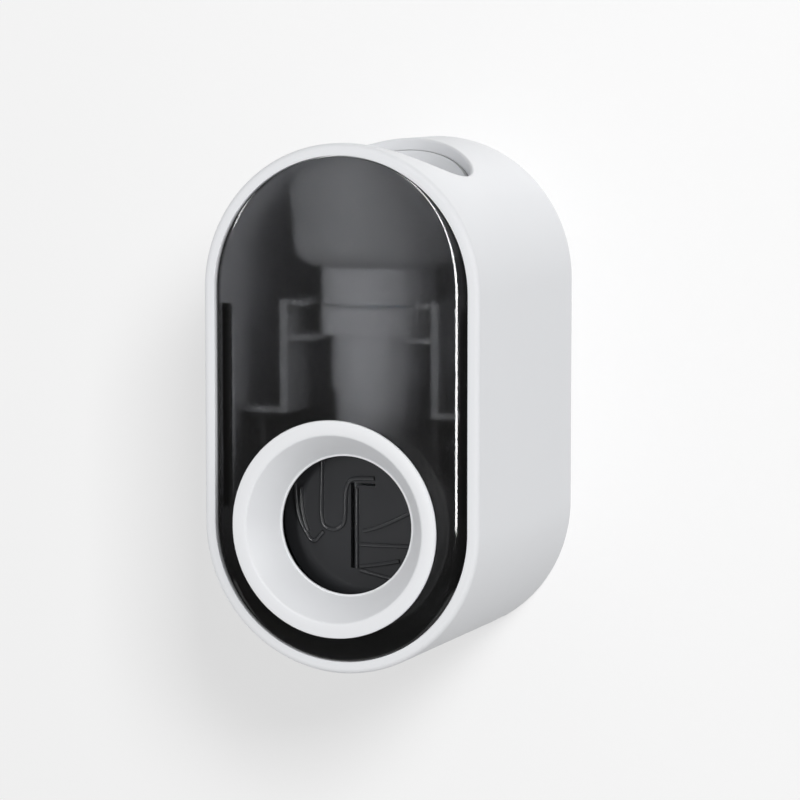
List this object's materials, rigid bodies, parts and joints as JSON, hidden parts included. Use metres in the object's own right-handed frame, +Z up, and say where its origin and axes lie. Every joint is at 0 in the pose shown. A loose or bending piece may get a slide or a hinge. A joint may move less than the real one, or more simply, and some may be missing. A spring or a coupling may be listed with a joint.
{
  "type": "wall-mounted toothpaste dispenser",
  "caption": "Upright oblong wall-mounted toothpaste dispenser with a smoked front panel, a dished ring round the brush hole, a push paddle and a spring-returned pump below a tube cup.",
  "frame": {"origin": "centre of the adhesive pad's back face, which lies on the wall, at mid height of the casing", "axes": "+X to the right seen from the front, +Y into the wall, +Z up"},
  "size_m": [0.063, 0.065, 0.113],
  "materials": {
    "white_gloss": "smooth, semi-gloss",
    "smoked_panel": "polished, see-through smoke",
    "inner_plastic": "fine matte",
    "dark_gloss": "polished",
    "dark_matte": "fine matte",
    "silicone": "soft matte",
    "foam": "closed-cell foam",
    "steel": "drawn"
  },
  "bodies": {
    "wall_mount": {"wall_bracket": "inner_plastic", "adhesive_pad": "foam"},
    "casing_body": {"casing": "white_gloss", "tube_cup": "inner_plastic", "neck_socket": "inner_plastic", "neck_sleeve": "silicone", "neck_seal": "silicone", "pump_collar": "inner_plastic", "pump_body": "inner_plastic", "inlet_valve": "silicone", "return_spring": "steel", "inner_frame": "inner_plastic", "frame_screws": "steel", "splash_guard": "dark_matte", "guard_screws": "steel", "pivot_pins": "steel"},
    "front_cover": {"front_panel": "smoked_panel", "brush_ring": "white_gloss", "ring_retainer": "steel"},
    "paddle": {"push_paddle": "dark_gloss"},
    "plunger_body": {"plunger": "inner_plastic", "piston_seal": "silicone", "outlet_valve": "silicone", "nozzle": "inner_plastic"}
  },
  "joints": [
    {"name": "lift_off", "type": "slide", "parent": "wall_mount", "child": "casing_body", "axis": [0, 0, 1], "range_m": [0, 0.072]},
    {"name": "cover_pull", "type": "slide", "parent": "casing_body", "child": "front_cover", "axis": [0, -1, 0], "range_m": [0, 0.03]},
    {"name": "paddle_push", "type": "hinge", "parent": "casing_body", "child": "paddle", "pos_m": [0, -0.0493, -0.0076], "axis": [1, 0, 0], "range_deg": [0, 26], "stiffness_Nm_per_rad": 0.062, "springref_deg": -19.48},
    {"name": "plunger_lift", "type": "slide", "parent": "casing_body", "child": "plunger_body", "axis": [0, 0, 1], "range_m": [0, 0.0054], "deforming": ["return_spring"]}
  ],
  "couplings": [
    {"joint": "plunger_lift", "follows": "paddle_push", "m_per_rad": 0.01172}
  ]
}
